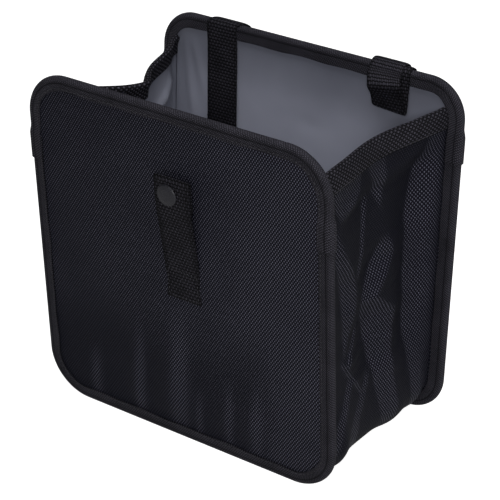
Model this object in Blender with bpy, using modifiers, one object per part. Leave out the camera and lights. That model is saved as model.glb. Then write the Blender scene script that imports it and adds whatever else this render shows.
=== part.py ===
"""Car trash can: two stiff bound panels with a soft lined gusset between them, webbing straps and snaps.

Frame: +Z up, front panel towards -Y, back panel towards +Y. The origin is on the floor, under the
middle of the object's box. Lengths are metres.

Each panel is described in its own frame: x across, z up the panel from its lower edge, and "out" away
from the middle of the board, positive towards the outside of the bin.
"""
import math
from collections import namedtuple

import bmesh
import bpy
from mathutils import Vector

# Panels
BASE_DEPTH = 0.110          # between the two boards' middles, at the floor
FRONT_WIDTH = 0.212
FRONT_HEIGHT = 0.2165
FRONT_CORNER = 0.0285
FRONT_LEAN = math.radians(2.3)
BACK_WIDTH = 0.2175
BACK_HEIGHT = 0.2135
BACK_CORNER = 0.0236
BACK_LEAN = math.radians(3.3)
FRONT_INSET = 0.0055        # the gusset meets a panel this far inside its outline
BACK_INSET = 0.0105
OUTER_LEG = 0.0085          # tape on the outer face of a panel
FRONT_INNER_LEG = 0.0036    # and on its inner face
BACK_INNER_LEG = 0.0090
FRONT_LAP_DROP = 0.0565     # the top tape ends this far below the panel's top
BACK_LAP_DROP = 0.0485
FRONT_RIM_DROP = 0.0165     # the gusset's rim meets the panel this far below its top
BACK_RIM_DROP = 0.0175
Panel = namedtuple("Panel", "name side width height corner lean inset inner_leg lap_height rim_height")
FRONT = Panel("front", -1, FRONT_WIDTH, FRONT_HEIGHT, FRONT_CORNER, FRONT_LEAN, FRONT_INSET, FRONT_INNER_LEG,
              FRONT_HEIGHT - FRONT_LAP_DROP, FRONT_HEIGHT - FRONT_RIM_DROP)
BACK = Panel("back", 1, BACK_WIDTH, BACK_HEIGHT, BACK_CORNER, BACK_LEAN, BACK_INSET, BACK_INNER_LEG,
             BACK_HEIGHT - BACK_LAP_DROP, BACK_HEIGHT - BACK_RIM_DROP)

# Sheet thicknesses and the clearance between touching pieces
GAP = 0.0003
BOARD_THICKNESS = 0.0014
FABRIC_THICKNESS = 0.0005
LINER_THICKNESS = 0.0003
TAPE_THICKNESS = 0.0007
WEBBING_THICKNESS = 0.0012
RIM_THICKNESS = 0.0010

# Places through a panel, measured outwards from the board's middle
FABRIC_MID = BOARD_THICKNESS / 2 + GAP + FABRIC_THICKNESS / 2
FABRIC_FACE = FABRIC_MID + FABRIC_THICKNESS / 2
LINER_MID = -(BOARD_THICKNESS / 2 + GAP + LINER_THICKNESS / 2)
LINER_FACE = LINER_MID - LINER_THICKNESS / 2
FLANGE_MID = LINER_FACE - GAP - FABRIC_THICKNESS / 2
TAPE_OUTER = FABRIC_FACE + GAP + TAPE_THICKNESS / 2
TAPE_INNER = FLANGE_MID - FABRIC_THICKNESS / 2 - GAP - TAPE_THICKNESS / 2
ROLL_RADIUS = (TAPE_OUTER - TAPE_INNER) / 2
ROLL_MIDDLE = (TAPE_OUTER + TAPE_INNER) / 2
ROLL_DEPTH = ROLL_RADIUS + TAPE_THICKNESS / 2
CORE_INSET = ROLL_DEPTH + GAP   # the layers inside a panel end this far inside its outline
LAP_LENGTH = 0.015              # the top tape covers the side tape for this length
LAP_EASE = 0.006
LAP_LIFT = TAPE_THICKNESS + GAP

# Gusset
RIM_LEG = 0.0100
RIM_ROW = RIM_LEG + 2 * GAP     # the topmost row of the gusset, the one that the rim is folded over
FOLD_END = 0.14             # share of the depth over which a fold dies out at a panel
RIGHT_BOW = 0.0070          # the right rim leans in by this much half way
LEFT_TUCK = 0.0220          # the left rim is tucked in by this much
LEFT_KINK = 0.0055          # and is creased at its innermost point by this much more
LEFT_SAG = 0.0060           # and dips by this much there
WAVE = 0.0030               # swell of the gusset's lower stretch
CREASE = 0.0055             # depth of the longest crease of the right wall
GUSSET_SIDE_STEPS = 10
GUSSET_CORNER_STEPS = 5
GUSSET_FLOOR_STEPS = 8
GUSSET_COLUMNS = 20

# Webbing
STRAP_WIDTH = 0.0222
TAB_WIDTH = 0.0248
STRAP_X = 0.062             # each strap's middle lies this far to its side
STRAP_BASE = 0.060          # a strap's sewn end lies this far below the panel's top
STRAP_SNAP_DROP = 0.036
STRAP_END_DROP = 0.048
STRAP_HANG = 0.128          # the left strap hangs this far below the panel's top
LOOP_DROP = 0.0235
LOOP_BULGE = 0.0095
LOOP_SKEW = -0.0045         # the loop's second pass crosses the top edge this far to one side
LEFT_SKEW = 0.006           # the left strap's sewn end lies this far to one side
TAB_X = 0.0034
TAB_DROP = 0.0397           # the tab's top lies this far below the panel's top
TAB_LENGTH = 0.0793
TAB_SLANT = -0.025          # sideways run of the tab for each metre upwards
TAB_SEAM = 0.019
TAB_HEM = 0.019
TAB_SNAP_DROP = 0.0101      # the snap lies this far below the tab's top
TAB_SNAP_SHIFT = -0.0033
TAB_TOP = FRONT.height - TAB_DROP
TAB_BOTTOM = TAB_TOP - TAB_LENGTH
TAB_SNAP_Z = TAB_TOP - TAB_SNAP_DROP

# Places of the webbing's middle through a panel
SEWN_OUT = FABRIC_FACE + GAP + WEBBING_THICKNESS / 2
OVER_OUT = TAPE_OUTER + TAPE_THICKNESS / 2 + GAP + WEBBING_THICKNESS / 2
INSIDE_OUT = TAPE_INNER - TAPE_THICKNESS / 2 - GAP - WEBBING_THICKNESS / 2
ARCH_RADIUS = (OVER_OUT - INSIDE_OUT) / 2
LAYER = WEBBING_THICKNESS + GAP

# Snap fastener
CAP_RADIUS = 0.0068
CAP_HEIGHT = 0.0015
SHANK_RADIUS = 0.0018
SOCKET_RADIUS = 0.0050
SOCKET_HEIGHT = 0.0016
STUD_RADIUS = 0.0048
STUD_FLANGE = 0.0005
POST_RADIUS = 0.0020
POST_HEIGHT = 0.0011
RIVET_RADIUS = 0.0045
RIVET_HEAD = 0.0005
TURN_STEPS = 16


def clear_scene():
    for thing in list(bpy.data.objects):
        bpy.data.objects.remove(thing, do_unlink=True)


def new_collection(name):
    collection = bpy.data.collections.new(name)
    bpy.context.scene.collection.children.link(collection)
    return collection


def finish(name, colour, roughness, metallic=0.0):
    """A Principled material of one colour."""
    material = bpy.data.materials.new(name)
    material.use_nodes = True
    shader = material.node_tree.nodes["Principled BSDF"]
    shader.inputs["Base Color"].default_value = (*colour, 1.0)
    shader.inputs["Roughness"].default_value = roughness
    shader.inputs["Metallic"].default_value = metallic
    return material


clear_scene()
BIN = new_collection("car_trash_can")
CUTTERS = new_collection("cutters")
FABRIC = finish("black_woven_fabric", (0.016, 0.017, 0.022), 0.75)
TAPE = finish("black_ribbed_tape", (0.020, 0.019, 0.022), 0.85)
WEBBING = finish("black_webbing", (0.015, 0.015, 0.017), 0.85)
LINER = finish("grey_waterproof_film", (0.100, 0.104, 0.125), 0.42)
BOARD = finish("stiffening_board", (0.60, 0.60, 0.58), 0.60)
SNAP = finish("dark_snap_metal", (0.045, 0.045, 0.050), 0.38, 0.6)


def empty(name, parent=None, location=(0, 0, 0), tilt=0.0):
    frame = bpy.data.objects.new(name, None)
    frame.location = location
    frame.rotation_euler.x = tilt
    frame.parent = parent
    BIN.objects.link(frame)
    return frame


def place(mesh, name, material, parent):
    """A named object for one piece."""
    piece = bpy.data.objects.new(name, mesh)
    piece.data.materials.append(material)
    piece.parent = parent
    BIN.objects.link(piece)
    return piece


def sheet(name, rows, columns, point, thickness, material, parent, even=True):
    """Sheet goods: a grid whose vertex (row, column) lies at point(row, column), thickened both ways."""
    bm = bmesh.new()
    bmesh.ops.create_grid(bm, x_segments=rows, y_segments=columns, size=0.5)
    for vertex in bm.verts:
        row = round((vertex.co.x + 0.5) * rows)
        column = round((vertex.co.y + 0.5) * columns)
        vertex.co = point(row, column)
    mesh = bpy.data.meshes.new(name)
    bm.to_mesh(mesh)
    bm.free()
    mesh.shade_smooth()
    piece = place(mesh, name, material, parent)
    wall = piece.modifiers.new("thickness", "SOLIDIFY")
    wall.thickness = thickness
    wall.offset = 0.0
    wall.use_even_offset = even
    return piece


def turned(name, profile, material, parent, location, facing):
    """A turned piece: a profile of (radius, height) points, from its top on the axis round to its foot."""
    mesh = bpy.data.meshes.new(name)
    points = [(radius, 0.0, height) for radius, height in profile]
    mesh.from_pydata(points, [(i, i + 1) for i in range(len(points) - 1)], [])
    piece = place(mesh, name, material, parent)
    piece.location = location
    piece.rotation_euler.x = -facing * math.pi / 2
    screw = piece.modifiers.new("turn", "SCREW")
    screw.steps = TURN_STEPS
    screw.render_steps = TURN_STEPS
    screw.use_merge_vertices = True
    screw.merge_threshold = 0.00001
    screw.use_smooth_shade = True
    return piece


def drill(piece, parent, x, z, out, side, radius, length):
    """A round hole through a piece of a panel, centred on (x, z) and on the depth out."""
    bm = bmesh.new()
    bmesh.ops.create_cone(bm, cap_ends=True, segments=TURN_STEPS, radius1=radius, radius2=radius, depth=length)
    mesh = bpy.data.meshes.new(piece.name + "_hole")
    bm.to_mesh(mesh)
    bm.free()
    cutter = bpy.data.objects.new(piece.name + "_hole", mesh)
    cutter.parent = parent
    cutter.location = (x, side * out, z)
    cutter.rotation_euler.x = math.pi / 2
    cutter.hide_render = True
    cutter.display_type = "WIRE"
    CUTTERS.objects.link(cutter)
    cut = piece.modifiers.new("hole", "BOOLEAN")
    cut.operation = "DIFFERENCE"
    cut.solver = "EXACT"
    cut.object = cutter


# Outline stations: a station is (centre x, centre z, outward angle), and the point at a depth inside the
# outline is the centre plus (corner - depth) along the angle. Straight stretches share the same form.

def spread(start, end, steps):
    """Evenly spaced values, the first and the last included."""
    return [start + (end - start) * i / steps for i in range(steps + 1)]


def outline_point(panel, station, depth):
    centre_x, centre_z, angle = station
    reach = panel.corner - depth
    return centre_x + reach * math.cos(angle), centre_z + reach * math.sin(angle)


def lower_stations(panel, side_heights, corner_steps, floor_steps):
    """Down the left side, along the bottom and up the right side. side_heights run from the top down."""
    half = panel.width / 2 - panel.corner
    stations = [(-half, z, math.pi) for z in side_heights]
    stations += [(-half, panel.corner, a) for a in spread(math.pi, 1.5 * math.pi, corner_steps)]
    stations += [(x, panel.corner, 1.5 * math.pi) for x in spread(-half, half, floor_steps)[1:-1]]
    stations += [(half, panel.corner, a) for a in spread(1.5 * math.pi, 2 * math.pi, corner_steps)]
    stations += [(half, z, 2 * math.pi) for z in reversed(side_heights)]
    return stations


def upper_stations(panel, side_heights, corner_steps, top_steps):
    """Up the left side, along the top and down the right side. side_heights run from the lowest up."""
    half = panel.width / 2 - panel.corner
    crown = panel.height - panel.corner
    stations = [(-half, z, math.pi) for z in side_heights]
    stations += [(-half, crown, a) for a in spread(math.pi, math.pi / 2, corner_steps)]
    stations += [(x, crown, math.pi / 2) for x in spread(-half, half, top_steps)[1:-1]]
    stations += [(half, crown, a) for a in spread(math.pi / 2, 0, corner_steps)]
    stations += [(half, z, 0.0) for z in reversed(side_heights)]
    return stations


def panel_point(panel, x, z, out):
    """A point given in a panel's frame, in the bin's frame."""
    rise, run = math.cos(panel.lean), math.sin(panel.lean)
    y = panel.side * (BASE_DEPTH / 2 + z * run + out * rise)
    return Vector((x, y, z * rise - out * run))


def make_layer(panel, frame, name, material, thickness, middle):
    """One flat layer of a panel: a rounded rectangle from a filled curve."""
    curve = bpy.data.curves.new(name, "CURVE")
    curve.dimensions = "2D"
    curve.fill_mode = "BOTH"
    curve.extrude = thickness / 2
    lower = lower_stations(panel, [], 8, 1)
    upper = upper_stations(panel, [], 8, 1)
    outline = [outline_point(panel, station, CORE_INSET) for station in lower + upper[::-1]]
    spline = curve.splines.new("POLY")
    spline.points.add(len(outline) - 1)
    for point, (x, z) in zip(spline.points, outline):
        point.co = (x, z, 0.0, 1.0)
    spline.use_cyclic_u = True
    flat = bpy.data.objects.new(name, curve)
    BIN.objects.link(flat)
    flat.rotation_euler.x = math.pi / 2
    bpy.context.view_layer.update()
    mesh = bpy.data.meshes.new_from_object(flat.evaluated_get(bpy.context.evaluated_depsgraph_get()))
    mesh.transform(flat.matrix_world)
    bpy.data.objects.remove(flat, do_unlink=True)
    bm = bmesh.new()
    bm.from_mesh(mesh)
    bmesh.ops.remove_doubles(bm, verts=bm.verts, dist=0.00001)
    bmesh.ops.recalc_face_normals(bm, faces=bm.faces)
    bm.to_mesh(mesh)
    bm.free()
    layer = place(mesh, name, material, frame)
    layer.location.y = panel.side * middle
    return layer


def make_tape(panel, frame, name, stations, lifts):
    """Tape folded over a panel's edge: inner leg, round roll, outer leg, swept along the stations."""
    roll_steps = 6
    section = [(TAPE_INNER, panel.inner_leg, -1.0, 0.0)]
    for angle in spread(-math.pi / 2, math.pi / 2, roll_steps):
        across, inward = math.sin(angle), math.cos(angle)
        section.append((ROLL_MIDDLE + ROLL_RADIUS * across, ROLL_DEPTH - ROLL_RADIUS * inward, across, inward))
    section.append((TAPE_OUTER, OUTER_LEG, 1.0, 0.0))

    def point(row, column):
        out, depth, across, inward = section[column]
        lift = lifts[row]
        x, z = outline_point(panel, stations[row], depth - lift * inward)
        return Vector((x, panel.side * (out + lift * across), z))

    return sheet(name, len(stations) - 1, len(section) - 1, point, TAPE_THICKNESS, TAPE, frame)


def make_panel(panel, frame):
    """Board, outer fabric, liner and the two lengths of tape round the edge."""
    pieces = {
        "board": make_layer(panel, frame, panel.name + "_board", BOARD, BOARD_THICKNESS, 0.0),
        "fabric": make_layer(panel, frame, panel.name + "_panel_fabric", FABRIC, FABRIC_THICKNESS, FABRIC_MID),
        "liner": make_layer(panel, frame, panel.name + "_liner", LINER, LINER_THICKNESS, LINER_MID),
    }
    lap_top = panel.lap_height + LAP_LENGTH
    below = lower_stations(panel, [lap_top - GAP], 8, 2)
    make_tape(panel, frame, panel.name + "_side_binding", below, [0.0] * len(below))
    heights = [panel.lap_height, lap_top, lap_top + LAP_EASE]
    above = upper_stations(panel, heights, 8, 2)
    plain = [0.0] * (len(above) - 2 * len(heights))
    make_tape(panel, frame, panel.name + "_top_binding", above,
              [LAP_LIFT, LAP_LIFT, 0.0] + plain + [0.0, LAP_LIFT, LAP_LIFT])
    return pieces


# Gusset shape

def smooth(value):
    """Smooth step from 0 to 1."""
    value = min(max(value, 0.0), 1.0)
    return value * value * (3.0 - 2.0 * value)


def bump(value, centre, width):
    """Round swelling of height 1."""
    return math.exp(-((value - centre) / width) ** 2)


def pinch(value, centre, width):
    """Sharp fold of height 1."""
    return 1.0 / (1.0 + ((value - centre) / width) ** 2)


def right_wall(share, v):
    """Folds of the right wall: a long crease near the back panel, two ridges and a shorter crease."""
    under_rim = smooth((0.945 - share) / 0.10)
    long_crease = bump(v, 0.78 + 0.09 * smooth((share - 0.66) / 0.30), 0.10)
    middle_ridge = bump(v, 0.60 - 0.05 * smooth((share - 0.60) / 0.30), 0.08)
    short_crease = bump(v, 0.40 + 0.10 * (1.0 - smooth(share / 0.40)), 0.09)
    front_ridge = bump(v, 0.24 - 0.15 * smooth((share - 0.55) / 0.30), 0.09)
    folds = 0.45 * middle_ridge - long_crease - 0.6 * short_crease + 0.5 * front_ridge
    return CREASE * under_rim * folds - RIGHT_BOW * smooth((share - 0.30) / 0.70) * bump(v, 0.5, 0.30)


def left_wall(share, v):
    """The left wall is tucked in towards its rim, like the side of a paper bag."""
    tuck = LEFT_TUCK * (bump(v, 0.42, 0.27) + 0.3 * bump(v, 0.80, 0.15)) + LEFT_KINK * pinch(v, 0.5, 0.07)
    return -tuck * smooth((share - 0.25) / 0.75)


def fold(x, z, v):
    """How far the gusset stands out from the straight run between the panels, at depth share v."""
    ends = smooth(v / FOLD_END) * smooth((1.0 - v) / FOLD_END)
    share = z / BACK.rim_height
    wall = right_wall(share, v) if x > 0 else left_wall(share, v)
    low = 1.0 - smooth((share - 0.10) / 0.30)
    wave = WAVE * (bump(v, 0.12, 0.08) + bump(v, 0.66, 0.11) + bump(v, 0.88, 0.11))
    return ends * ((1.0 - low) * wall + low * wave)


def sag(x, z, v):
    """How far the tucked left wall dips."""
    return LEFT_SAG * smooth(z / BACK.rim_height) * bump(v, 0.5, 0.28) if x < 0 else 0.0


def side_station(panel, side, height):
    """The station of a side wall at a height. Above the straight side it follows the panel's upper corner."""
    half = panel.width / 2 - panel.corner
    crown = panel.height - panel.corner
    lean_in = math.asin(max(height - crown, 0.0) / (panel.corner - panel.inset))
    return side * half, min(height, crown), lean_in if side > 0 else math.pi - lean_in


def gusset_stations(panel):
    """Down the left wall, along the floor and up the right wall."""
    top = panel.rim_height
    heights = [top] + spread(top - RIM_ROW, panel.corner, GUSSET_SIDE_STEPS)[:-1]
    left = [side_station(panel, -1, height) for height in heights]
    right = [side_station(panel, 1, height) for height in reversed(heights)]
    return left + lower_stations(panel, [], GUSSET_CORNER_STEPS, GUSSET_FLOOR_STEPS) + right


FRONT_STATIONS = gusset_stations(FRONT)
BACK_STATIONS = gusset_stations(BACK)
GUSSET_ROWS = len(FRONT_STATIONS) - 1


def radial(angle):
    return Vector((math.cos(angle), 0.0, math.sin(angle)))


def between_panels(front_station, back_station, v):
    """A point of the gusset's middle surface, at depth share v from the front panel to the back one."""
    start = panel_point(FRONT, *outline_point(FRONT, front_station, FRONT.inset), FLANGE_MID)
    end = panel_point(BACK, *outline_point(BACK, back_station, BACK.inset), FLANGE_MID)
    angle = front_station[2] + (back_station[2] - front_station[2]) * v
    point = start.lerp(end, v)
    sideways = Vector((math.cos(angle), 0.0, min(math.sin(angle), 0.0)))
    down = Vector((0.0, 0.0, -sag(point.x, point.z, v)))
    return point + sideways * fold(point.x, point.z, v) + down


def gusset_point(row, v):
    return between_panels(FRONT_STATIONS[row], BACK_STATIONS[row], v)


def outward(across, along):
    """Unit normal from two tangents."""
    return across.cross(along).normalized()


def gusset_normal(row, v):
    """Outward normal of the gusset's middle surface."""
    step = 1.0 / GUSSET_COLUMNS
    below, above = max(row - 1, 0), min(row + 1, GUSSET_ROWS)
    along = gusset_point(above, v) - gusset_point(below, v)
    lower, upper = max(v - step, 0.0), min(v + step, 1.0)
    across = gusset_point(row, upper) - gusset_point(row, lower)
    return outward(across, along)


def make_gusset(root):
    """One strip of fabric with turned flanges under the tape, and one strip of film inside it."""
    fabric_shift = GAP / 2 + FABRIC_THICKNESS / 2
    film_shift = GAP / 2 + LINER_THICKNESS / 2

    def flange_point(panel, stations, row):
        x, z = outline_point(panel, stations[row], CORE_INSET)
        return panel_point(panel, x, z, FLANGE_MID)

    def fabric_point(row, column):
        if column == 0:
            return flange_point(FRONT, FRONT_STATIONS, row)
        if column == GUSSET_COLUMNS + 2:
            return flange_point(BACK, BACK_STATIONS, row)
        v = (column - 1) / GUSSET_COLUMNS
        if column == 1:
            return gusset_point(row, v) + radial(FRONT_STATIONS[row][2]) * fabric_shift
        if column == GUSSET_COLUMNS + 1:
            return gusset_point(row, v) + radial(BACK_STATIONS[row][2]) * fabric_shift
        return gusset_point(row, v) + gusset_normal(row, v) * fabric_shift

    def film_point(row, column):
        v = column / GUSSET_COLUMNS
        return gusset_point(row, v) - gusset_normal(row, v) * film_shift

    sheet("gusset_fabric", GUSSET_ROWS, GUSSET_COLUMNS + 2, fabric_point, FABRIC_THICKNESS, FABRIC, root, False)
    sheet("gusset_liner", GUSSET_ROWS, GUSSET_COLUMNS, film_point, LINER_THICKNESS, LINER, root, False)


def make_rim(root, name, top_row, next_row):
    """Webbing folded over a side wall's upper edge, from one panel's tape to the other's."""
    outer = GAP / 2 + FABRIC_THICKNESS + GAP + RIM_THICKNESS / 2
    inner = GAP / 2 + LINER_THICKNESS + GAP + RIM_THICKNESS / 2
    radius = (outer + inner) / 2
    middle = (outer - inner) / 2
    section = [(outer, RIM_LEG), (outer, 0.0)]
    section += [(middle + radius * math.cos(a), -radius * math.sin(a)) for a in spread(0, math.pi, 4)[1:-1]]
    section += [(-inner, 0.0), (-inner, RIM_LEG)]
    wall_depth = (gusset_point(top_row, 1.0) - gusset_point(top_row, 0.0)).length
    margin = (FLANGE_MID - TAPE_INNER + TAPE_THICKNESS / 2 + GAP) / wall_depth
    columns = [margin] + spread(0.0, 1.0, GUSSET_COLUMNS)[1:-1] + [1.0 - margin]

    def point(row, column):
        v = columns[row]
        offset, drop = section[column]
        run = gusset_point(next_row, v) - gusset_point(top_row, v)
        share = max(drop, 0.0) / run.length
        normal = gusset_normal(top_row, v).lerp(gusset_normal(next_row, v), share)
        return gusset_point(top_row, v) + run.normalized() * drop + normal * offset

    return sheet(name, len(columns) - 1, len(section) - 1, point, RIM_THICKNESS, WEBBING, root, False)


# Webbing paths: points (x, out, z, slope) of the webbing's middle in a panel's frame, where slope is the
# rise of the webbing for each metre across it

def arc(x, centre_z, radius, steps, skew=0.0):
    """From outside, over the panel's top, to inside. It starts to one side by skew."""
    return [Vector((x + skew * (0.5 + 0.5 * math.cos(a)), ROLL_MIDDLE + radius * math.cos(a),
                    centre_z + radius * math.sin(a), 0.0))
            for a in spread(0.0, math.pi, steps)]


def smooth_path(points, steps):
    """A curve through all the points (Catmull-Rom)."""
    ends = [2 * points[0] - points[1]] + points + [2 * points[-1] - points[-2]]
    path = [points[0]]
    for a, b, c, d in zip(ends, ends[1:], ends[2:], ends[3:]):
        for t in spread(0.0, 1.0, steps)[1:]:
            path.append(0.5 * (2 * b + (c - a) * t + (2 * a - 5 * b + 4 * c - d) * t ** 2
                               + (3 * b - a - 3 * c + d) * t ** 3))
    return path


def strap_rise(x, skew=0.0):
    """The sewn stretch on the rear face, the step up on to the tape and the arch over the top."""
    top = BACK.height
    arch = top - ROLL_DEPTH
    step_top = top - OUTER_LEG - 2 * GAP
    step_foot = step_top - 2 * (OVER_OUT - SEWN_OUT)
    start = x + skew
    return [Vector((start, SEWN_OUT, top - STRAP_BASE, 0.0)), Vector((start, SEWN_OUT, step_foot, 0.0)),
            Vector((start, OVER_OUT, step_top, 0.0))] + arc(x, arch, ARCH_RADIUS, 8, skew)


def over_snap(seat):
    """Where webbing lies when it is snapped down on a stud that sits on the face at seat."""
    return seat + GAP + STUD_FLANGE + GAP + SOCKET_HEIGHT + GAP


def make_ribbon(name, frame, side, path, width):
    """Flat webbing along a path, its width across the panel."""
    def point(row, column):
        x, out, z, slope = path[row]
        across = width * (column - 0.5)
        return Vector((x + across, side * out, z + slope * across))

    return sheet(name, len(path) - 1, 1, point, WEBBING_THICKNESS, WEBBING, frame)


def make_stud(name, frame, panel, pieces, strap, x, z):
    """Stud on the outer face, its rivet through the webbing and the fabric, the head let into the board."""
    side = panel.side
    seat = SEWN_OUT + WEBBING_THICKNESS / 2 if strap else FABRIC_FACE
    stud = seat + GAP
    turned(name + "_snap_stud", [(0, STUD_FLANGE + POST_HEIGHT), (POST_RADIUS * 0.8, STUD_FLANGE + POST_HEIGHT),
                                 (POST_RADIUS, STUD_FLANGE + POST_HEIGHT * 0.7),
                                 (POST_RADIUS * 0.75, STUD_FLANGE), (STUD_RADIUS, STUD_FLANGE * 0.8),
                                 (STUD_RADIUS, 0), (0, 0)], SNAP, frame, (x, side * stud, z), side)
    head = FABRIC_FACE - FABRIC_THICKNESS - GAP - RIVET_HEAD
    turned(name + "_snap_rivet", [(0, seat - head), (SHANK_RADIUS, seat - head), (SHANK_RADIUS, RIVET_HEAD),
                                  (RIVET_RADIUS, RIVET_HEAD), (RIVET_RADIUS, 0), (0, 0)],
           SNAP, frame, (x, side * head, z), side)
    hole = SHANK_RADIUS + GAP
    drill(pieces["fabric"], frame, x, z, FABRIC_MID, side, hole, 4 * FABRIC_THICKNESS)
    if strap:
        drill(strap, frame, x, z, SEWN_OUT, side, hole, 2 * WEBBING_THICKNESS)
    recess = BOARD_THICKNESS / 2 - head + GAP
    drill(pieces["board"], frame, x, z, BOARD_THICKNESS / 2, side, RIVET_RADIUS + GAP, 2 * recess)


def make_cap(name, frame, strap, side, x, z, web_inner, web_outer):
    """Cap and socket gripping the webbing between web_inner and web_outer, the cap on its outer face."""
    grip = web_outer - web_inner
    shank = grip + GAP
    cap = web_outer + GAP
    socket = web_inner - GAP - SOCKET_HEIGHT
    turned(name + "_snap_cap", [(0, CAP_HEIGHT), (CAP_RADIUS * 0.55, CAP_HEIGHT * 0.93),
                                (CAP_RADIUS * 0.88, CAP_HEIGHT * 0.68), (CAP_RADIUS, CAP_HEIGHT * 0.30),
                                (CAP_RADIUS * 0.97, 0), (SHANK_RADIUS, 0), (SHANK_RADIUS, -shank),
                                (0, -shank)],
           SNAP, frame, (x, side * cap, z), side)
    bore = POST_RADIUS + GAP
    depth = POST_HEIGHT + GAP
    turned(name + "_snap_socket", [(0, SOCKET_HEIGHT), (SOCKET_RADIUS * 0.85, SOCKET_HEIGHT),
                                   (SOCKET_RADIUS, SOCKET_HEIGHT * 0.7), (SOCKET_RADIUS, 0), (bore, 0),
                                   (bore, depth), (0, depth)],
           SNAP, frame, (x, side * socket, z), side)
    drill(strap, frame, x, z, (web_inner + web_outer) / 2, side, SHANK_RADIUS + GAP, grip + 2 * GAP)


def make_right_strap(frame, pieces):
    """Sewn to the rear face, over the top, round a loop inside and back over the top to its snap."""
    top = BACK.height
    x = STRAP_X
    skewed = x + LOOP_SKEW
    rise = strap_rise(x)
    upper = over_snap(SEWN_OUT + WEBBING_THICKNESS / 2)
    end_out = upper + WEBBING_THICKNESS / 2
    bulge = INSIDE_OUT - LOOP_BULGE
    loop = [rise[-1]] + [Vector(point) for point in (
        (x, INSIDE_OUT - 0.0004, top - 0.6 * LOOP_DROP, 0.0),
        (x, INSIDE_OUT - 0.0012, top - LOOP_DROP, -0.06),
        (x, INSIDE_OUT - 0.0034, top - LOOP_DROP - 0.0008, -0.06),
        (x, INSIDE_OUT - 0.62 * LOOP_BULGE, top - 0.70 * LOOP_DROP, 0.04),
        (x + 0.1 * LOOP_SKEW, bulge, top - 0.38 * LOOP_DROP, 0.18),
        (x + 0.6 * LOOP_SKEW, INSIDE_OUT - 0.66 * LOOP_BULGE, top - 0.16 * LOOP_DROP, 0.06),
    )]
    arch_z = top - ROLL_DEPTH
    second = arc(skewed, arch_z, ARCH_RADIUS + LAYER, 8)[::-1]
    rear = [second[-1]] + [Vector(point) for point in (
        (skewed, second[-1][1] + 0.0001, top - 0.6 * STRAP_SNAP_DROP, 0.0),
        (x, end_out, top - STRAP_SNAP_DROP + SOCKET_RADIUS, 0.0),
        (x, end_out, top - STRAP_END_DROP, 0.0),
    )]
    path = rise + smooth_path(loop, 3)[1:] + second[1:] + smooth_path(rear, 2)[1:]
    strap = make_ribbon("right_strap", frame, BACK.side, path, STRAP_WIDTH)
    snap_z = top - STRAP_SNAP_DROP
    make_stud("right", frame, BACK, pieces, strap, x, snap_z)
    make_cap("right", frame, strap, BACK.side, x, snap_z, upper, upper + WEBBING_THICKNESS)


def make_left_strap(frame, pieces):
    """Sewn to the rear face, over the top and hanging open inside, its snap near the free end."""
    top = BACK.height
    x = -STRAP_X
    web_outer = LINER_FACE - GAP - CAP_HEIGHT - GAP
    end_out = web_outer - WEBBING_THICKNESS / 2
    end_z = top - STRAP_HANG
    path = strap_rise(x, LEFT_SKEW) + [Vector((x + 0.0012, INSIDE_OUT, top - 0.030, 0.0)),
                                       Vector((x + 0.003, end_out, end_z, 0.0))]
    strap = make_ribbon("left_strap", frame, BACK.side, path, STRAP_WIDTH)
    snap_z = end_z + STRAP_END_DROP - STRAP_SNAP_DROP
    snap_x = x + 0.0028
    make_stud("left", frame, BACK, pieces, strap, x + LEFT_SKEW, top - STRAP_SNAP_DROP)
    make_cap("left", frame, strap, BACK.side, snap_x, snap_z, web_outer - WEBBING_THICKNESS, web_outer)


def make_tab(frame, pieces):
    """Sewn to the front panel at its foot, hemmed and snapped at its top."""
    inner = over_snap(FABRIC_FACE)
    hem_mid = inner + WEBBING_THICKNESS / 2
    face_mid = hem_mid + LAYER
    turn_radius = LAYER / 2

    def shifted(z):
        return TAB_X + TAB_SLANT * (z - (TAB_TOP + TAB_BOTTOM) / 2)

    def stop(out, z):
        return Vector((shifted(z), out, z, 0.0))

    turn = [stop(hem_mid + turn_radius * (1 - math.cos(a)), TAB_TOP - turn_radius + turn_radius * math.sin(a))
            for a in spread(0, math.pi, 4)]
    hem_foot = TAB_TOP - TAB_HEM
    fall = [turn[-1], stop(face_mid, hem_foot), stop(0.6 * face_mid + 0.4 * SEWN_OUT, hem_foot - 0.015),
            stop(SEWN_OUT, TAB_BOTTOM + TAB_SEAM), stop(SEWN_OUT, TAB_BOTTOM)]
    path = [stop(hem_mid, hem_foot)] + turn + smooth_path(fall, 2)[1:]
    tab = make_ribbon("front_tab", frame, FRONT.side, path, TAB_WIDTH)
    x = shifted(TAB_SNAP_Z) + TAB_SNAP_SHIFT
    make_stud("tab", frame, FRONT, pieces, None, x, TAB_SNAP_Z)
    make_cap("tab", frame, tab, FRONT.side, x, TAB_SNAP_Z, inner, inner + LAYER + WEBBING_THICKNESS)


def rest_on_floor(root):
    """Set the origin on the floor, under the middle of the object's box."""
    bpy.context.view_layer.update()
    depsgraph = bpy.context.evaluated_depsgraph_get()
    low, high = Vector((9, 9, 9)), Vector((-9, -9, -9))
    for piece in BIN.objects:
        if piece.type != "MESH":
            continue
        shape = piece.evaluated_get(depsgraph)
        for vertex in shape.data.vertices:
            place_now = shape.matrix_world @ vertex.co
            low = Vector(map(min, low, place_now))
            high = Vector(map(max, high, place_now))
    root.location = (-(low.x + high.x) / 2, -(low.y + high.y) / 2, -low.z)


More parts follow.
